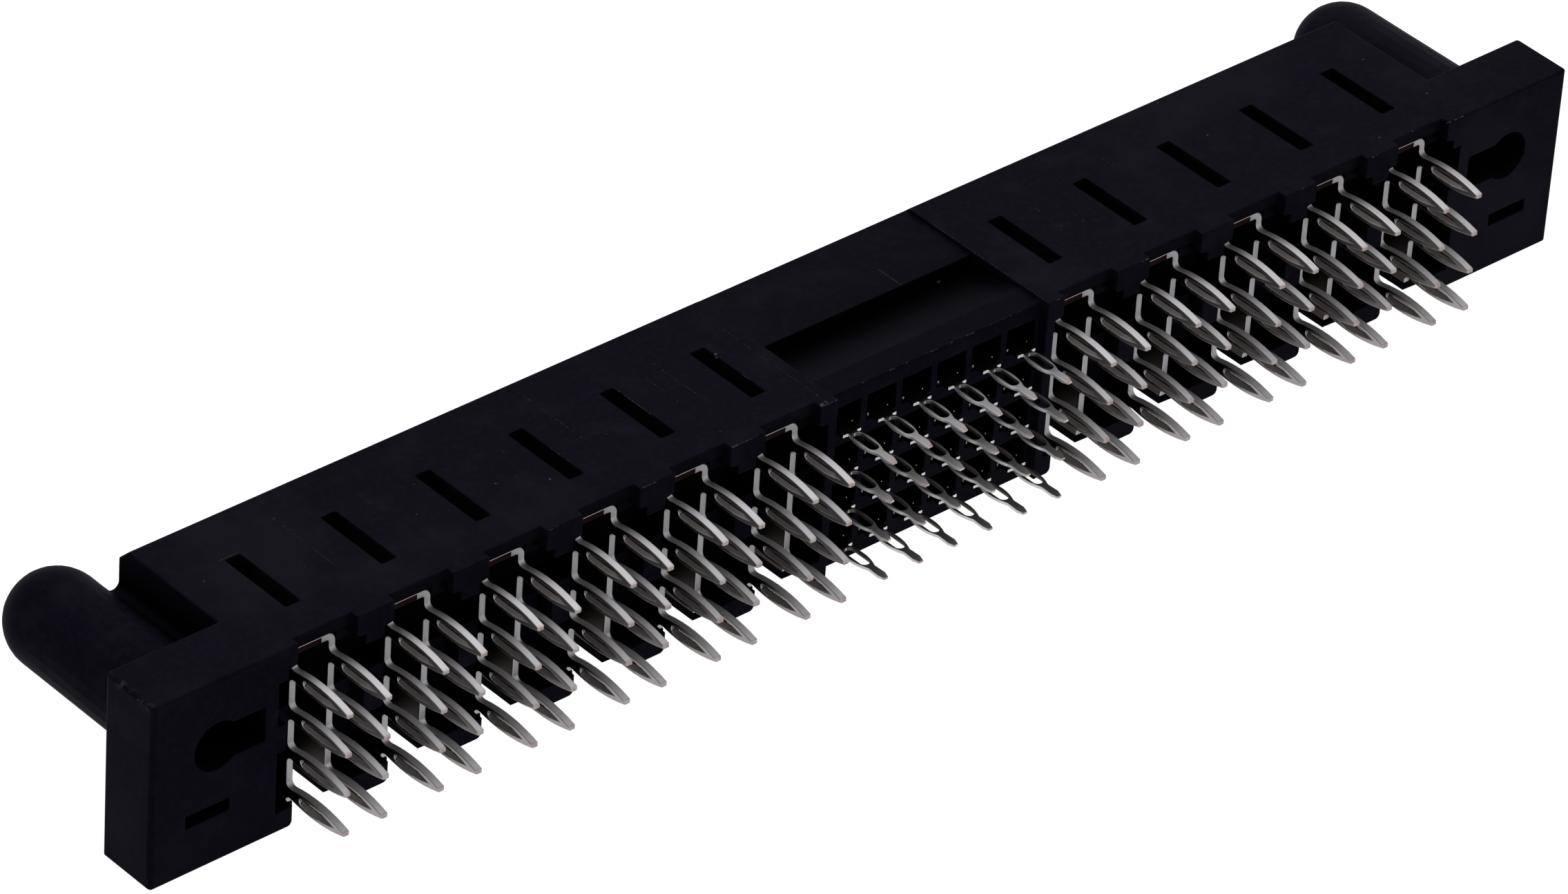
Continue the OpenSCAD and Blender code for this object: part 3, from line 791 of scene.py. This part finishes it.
# %% Flash, crumbs and painted highlights
MIDDLE_DROP = 0.25
MIDDLE_SETBACK = 0.65
LINE_WIDTH = 0.06
BURR_DEPTH = 0.04
BURR_SINK = 0.02
middle_top = top_z - MIDDLE_DROP
work = bmesh.new()
for x, low, high, shown in witness_lines:
    add_dashes(work, (x, low), (x, high), top_z, LINE_WIDTH, shown)
for left, right, width, shown in front_burrs:
    add_dashes(work, (left, BURR_DEPTH), (right, BURR_DEPTH), top_z - BURR_SINK, width, shown)
for left, right, shown in middle_burrs:
    depth = MIDDLE_SETBACK + 0.03
    add_dashes(work, (left, depth), (right, depth), middle_top - 0.01, LINE_WIDTH, shown)
add_dashes(work, (5.74, 6.42), (5.74, 8.35), middle_top, 0.08, 0.95)
# A painted highlight along the left top edge of a raised block, made as a ridge.
add_dashes(work, (10.84, 0.1), (10.84, 9.6), top_z, 0.045, 0.8)
for x, low, high in slot_rim_highlights:
    add_dashes(work, (x, low), (x, high), top_z, LINE_WIDTH, 0.9)
# A painted highlight on the back edge of the first slot, made as a ridge.
add_dashes(work, (-40.1, 8.1), (-39.0, 8.1), top_z, 0.09, 1.0)
for x, y, size in crumbs:
    add_crumb(work, from_seat(x, y, top_z), size)
add_crumb(work, from_seat(8.5, 6.34, 10.63), 0.14)
bmesh.ops.recalc_face_normals(work, faces=work.faces)
flash_and_highlight_mesh = bpy.data.meshes.new("flash_and_painted_highlights")
work.to_mesh(flash_and_highlight_mesh)
work.free()
add_piece("flash_and_painted_highlights", flash_and_highlight_mesh, [flash], None)
print("flash faces:", len(flash_and_highlight_mesh.polygons))

# %% [markdown]
# Each power contact keeps its solid's shape, but the stamping die leaves no square corner
# at the tips of its tails: they end in small round noses. So the last fifth of a
# millimetre is cut across a few times, and the points between the cuts are drawn in.

# %% Tail tips
LOW_ROW = 1.32
ROW_PITCH = 2.54
ROW_HEIGHTS = [LOW_ROW + ROW_PITCH * row for row in range(4)]
POWER_REACH = 3.6
POWER_SHEET = 0.45
NOSE = 0.21
TIP_HALF = 0.02


def drawn_in(value, middle, most):
    """value, in metres, kept within most of middle, both in mm."""
    return (middle + max(-most, min(most, value / MM - middle))) * MM


def round_noses(work, walls):
    """Draws in the ends of the tails that stand on walls, given by their middle planes."""
    tip_y = front_y - POWER_REACH
    for step in (0.03, 0.075, 0.13, NOSE):
        cut_across(work, Y_AXIS, tip_y + step)
    for vert in work.verts:
        depth = vert.co.y / MM - tip_y
        if depth < NOSE:
            room = NOSE * math.sqrt(max(0.0, 1 - (1 - depth / NOSE) ** 2))
            wall = nearest(vert.co.x / MM, walls)
            row = nearest(vert.co.z / MM, ROW_HEIGHTS)
            vert.co.x = drawn_in(vert.co.x, wall, POWER_SHEET / 2 - NOSE + room)
            vert.co.z = drawn_in(vert.co.z, row, TIP_HALF + room)


print("row heights in mm:", ROW_HEIGHTS)

# %% [markdown]
# In the photograph the eye of a tail isn't a clean hole, as in a washer. Its sides slope
# inwards from both faces of the sheet and all but touch half way through, with one dark
# line between them. In the solid the eyes go straight through. Here each wall is cut
# along its middle plane, and the points on that cut are brought together. Two more cuts
# beside it mark off the deepest part, which gets a painted shade.

# %% Eyes of the power tails
EYE_HALF_HEIGHT = 0.28
EYE_MIDDLE = 0.95
EYE_HALF_LENGTH = 1.72
EYE_START = -0.2
EYE_END = 2.7
EYE_CLOSED = 0.015
EYE_ROOM = 0.03
DEEP_HALF = 0.03


def close_eyes(work, walls):
    """Lets the sides of the eyes slope in until they all but touch, half way through the sheet."""
    for wall in walls:
        cut_across(work, X_AXIS, wall)
    for vert in work.verts:
        spot = vert.co / MM
        reach = front_y - spot.y
        row = nearest(spot.z, ROW_HEIGHTS)
        eye_edge = EYE_HALF_HEIGHT * (1 - ((reach - EYE_MIDDLE) / EYE_HALF_LENGTH) ** 2)
        in_eye = EYE_START < reach < EYE_END and abs(spot.z - row) < eye_edge + EYE_ROOM
        if in_eye and abs(spot.x - nearest(spot.x, walls)) < SLACK / 2:
            vert.co.z = (row + (spot.z - row) * EYE_CLOSED) * MM
    for wall in walls:
        cut_across(work, X_AXIS, wall - DEEP_HALF)
        cut_across(work, X_AXIS, wall + DEEP_HALF)


print("eyes reach", EYE_END, "mm out of the seating face")

# %% [markdown]
# The strap joins a contact's two walls. On its front edge, left of its middle, a stretch
# between two ends that were sheared and plated with the rest gets a dark red-brown
# painted shade.

# %% Painted shade on the strap's front edge
STRAP_LEVEL = 9.7
SHADE_LEFT = -1.2
SHADE_RIGHT = 0.55


def cut_strap(work, bay):
    """Cuts lines across the strap's front edge, at both ends of the stretch with the painted shade."""
    front = [f for f in work.faces if f.calc_center_median().z > STRAP_LEVEL * MM and f.normal.y < -0.5]
    for offset in (SHADE_LEFT, SHADE_RIGHT):
        edges = {edge for face in front for edge in face.edges}
        verts = {vert for face in front for vert in face.verts}
        parts = cut_across(work, X_AXIS, bay + offset, list(verts) + list(edges) + front)
        front = [part for part in parts if isinstance(part, bmesh.types.BMFace)]


# This is the length of the stretch with the painted shade.
print("bare stretch of the strap:", SHADE_RIGHT - SHADE_LEFT, "mm")

# %% [markdown]
# The faces are then sorted by their direction and place, because each kind has its own
# finish. A painted mask would need an unwrapped mesh, and the faces already know. On the
# upright power contacts the broad faces look along X, and over the strap also up and
# down. A face that looks towards the middle of its row lies inside an eye: its upward rim
# gets a painted highlight, its slope is torn, and its depth gets a painted shade. The rest was sheared,
# apart from a stretch of the strap's front edge that gets a painted shade.

# %% Power contacts
ROLLED = 0
SHEARED = 1
TORN = 2
STRAP_SHADE = 3
RIM = 4
DEPTH = 5
RIM_START = 0.16
RIM_HALF_HEIGHT = 0.33
RIM_NEAREST = 0.2
RIM_FARTHEST = 2.9


def dress_contact(node, finishes, kind_of, width_of, shape):
    """Replaces a contact's solid by a rounded copy, with the finish of each face chosen by kind_of."""
    mesh = clean_copy(node, f"{node}_cut")
    weigh_edges(mesh, width_of)
    mesh = rounded(f"{node}_dressed", mesh, 2, shape)
    for face in mesh.polygons:
        face.material_index = kind_of(face.normal, face.center / MM)
    add_piece(f"{node}_dressed", mesh, finishes, node)


def power_edge(middle, run):
    """The bevel width in mm of one edge of a power contact. The rims of the eyes are a little sharper."""
    above = middle.z - nearest(middle.z, ROW_HEIGHTS)
    along_eye = RIM_NEAREST < front_y - middle.y < RIM_FARTHEST and abs(above) < RIM_HALF_HEIGHT
    return 0.06 if along_eye and abs(run.x) < 0.5 else 0.07


def eye_kind(normal, from_middle):
    """The kind of a face inside an eye, by its distance in mm from the middle of the sheet."""
    # The deepest part of an eye gets the painted shade.
    if from_middle < DEEP_HALF:
        return DEPTH
    # Rim faces that look up get the painted highlight.
    if from_middle > RIM_START:
        return RIM if normal.z > 0 else ROLLED
    return TORN


def power_kind(normal, centre, bay, walls):
    """The kind of one face of a power contact."""
    above = centre.z - nearest(centre.z, ROW_HEIGHTS)
    near_eye = 0 < front_y - centre.y < EYE_END and abs(above) < 0.3
    if near_eye and abs(normal.x) < 0.97 and abs(normal.z) > 0.1 and normal.z * above < 0:
        return eye_kind(normal, abs(centre.x - nearest(centre.x, walls)))
    on_strap = centre.z > STRAP_LEVEL
    if on_strap and normal.y < -0.3 and normal.z > 0.3:
        return SHEARED
    if abs(normal.x) > 0.5 or (on_strap and abs(normal.y) < 0.5):
        return ROLLED
    # A stretch of the strap's front edge gets the painted shade.
    if on_strap and normal.y < 0 and SHADE_LEFT < centre.x - bay < SHADE_RIGHT:
        return STRAP_SHADE
    return SHEARED


def dress_power(node):
    low, high = (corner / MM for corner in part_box(node))
    walls = [low.x + POWER_SHEET / 2, high.x - POWER_SHEET / 2]
    bay = (low.x + high.x) / 2

    def shape(work):
        round_noses(work, walls)
        close_eyes(work, walls)
        cut_strap(work, bay)

    def kind_of(normal, centre):
        return power_kind(normal, centre, bay, walls)

    dress_contact(node, power_metals, kind_of, power_edge, shape)


for node in power_nodes:
    dress_power(node)
print("power contacts dressed:", len(power_nodes))

# %% [markdown]
# A signal contact is flat, so its broad faces look up and down, and inside its cell the
# sides take the rolled finish and with it the painted shade near the housing. Its tail forks
# into a ring around an eye, whose inner side was torn. The coined tip is blunter in the
# photograph than in the solid: its points are spread a little, the more the nearer they are to the end.

# %% Signal contacts
SIGNAL_BEVEL = 0.03
CELL_START = 0.12
END_START = 2.2
END_LENGTH = 0.6
END_WIDER = 0.15
TIP_START = 3.0
TIP_LENGTH = 0.4
TIP_WIDER = 0.75
TIP_THICKER = 0.7


def ramp(value, start, length):
    """0 up to start, 1 from start + length on, and a straight rise between."""
    return max(0.0, min(1.0, (value - start) / length))


def blunt_tip(work, middle):
    """Spreads a signal tail's end sideways, and its coined tip also in thickness."""
    for vert in work.verts:
        reach = front_y - vert.co.y / MM
        tip = ramp(reach, TIP_START, TIP_LENGTH) ** 2
        wide = 1 + END_WIDER * ramp(reach, END_START, END_LENGTH) + TIP_WIDER * tip
        thick = 1 + TIP_THICKER * tip
        row = nearest(vert.co.z / MM, ROW_HEIGHTS)
        vert.co.x = (middle + (vert.co.x / MM - middle) * wide) * MM
        vert.co.z = (row + (vert.co.z / MM - row) * thick) * MM


def dress_signal(node):
    low, high = (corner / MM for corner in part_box(node))
    middle = (low.x + high.x) / 2

    def kind_of(normal, centre):
        # Sides inside the cell take the rolled finish and its painted shade.
        in_cell = centre.y > front_y + CELL_START and abs(normal.x) > 0.5
        if abs(normal.z) > 0.5 or in_cell:
            return ROLLED
        inward = normal.x * (centre.x - middle) < 0
        return TORN if inward and centre.y < front_y else SHEARED

    def width_of(middle, run):
        return SIGNAL_BEVEL

    def shape(work):
        blunt_tip(work, middle)

    dress_contact(node, signal_metals, kind_of, width_of, shape)


for node in signal_nodes:
    dress_signal(node)
print("signal contacts dressed:", len(signal_nodes))

# %% [markdown]
# The photograph has a pure white background. The floor is a large white sheet. Rays that
# show the background see it nearly self-lit, so it is white with a trace of the
# connector's shadow; all other rays see plain white paper. It lies a hair below the
# connector, so that the two never share a plane when they are looked at from below.

# %% Floor
FLOOR_DROP = 0.02
floor_mesh = bpy.data.meshes.new("floor")
floor_mesh.from_pydata([(-2, -2, 0), (2, -2, 0), (2, 2, 0), (-2, 2, 0)], [], [(0, 1, 2, 3)])
floor = bpy.data.objects.new("floor", floor_mesh)
floor.location.z = -FLOOR_DROP * MM
bpy.context.scene.collection.objects.link(floor)
paper = Finish("floor_white")
seen = paper.background_rays()
paper.set(Base_Color=paper.mix(seen, (0.8, 0.8, 0.8), (0.2, 0.2, 0.2)))
paper.set(Emission_Color=paper.mix(seen, (0.0, 0.0, 0.0), (0.97, 0.97, 0.97)))
paper.set(Emission_Strength=1.0, Roughness=0.9, Specular_IOR_Level=0.0)
floor_mesh.materials.append(paper.material)
print("floor is", FLOOR_DROP, "mm under the connector")

# %% [markdown]
# The light is plain: a world that is white where it is seen or mirrored and gives an even
# light otherwise, and one large softbox overhead. Black plastic shows every lamp as a
# streak, so one broad source suits it better than several small ones.

# %% World and softbox
WORLD_LEVEL = 0.4
world = bpy.data.worlds.new("studio")
bpy.context.scene.world = world
sky = Net(world, "Background")
sky.set(Color=(1.0, 1.0, 1.0), Strength=WORLD_LEVEL + (1 - WORLD_LEVEL) * sky.background_rays())
softbox_data = bpy.data.lights.new("overhead", "AREA")
softbox_data.shape = "RECTANGLE"
softbox_data.size = 0.6
softbox_data.size_y = 0.5
softbox_data.energy = 1.2
softbox = bpy.data.objects.new("overhead", softbox_data)
softbox.location = (0.1, 0.15, 0.6)
softbox.rotation_euler = (-softbox.location).to_track_quat("-Z", "Y").to_euler()
bpy.context.scene.collection.objects.link(softbox)
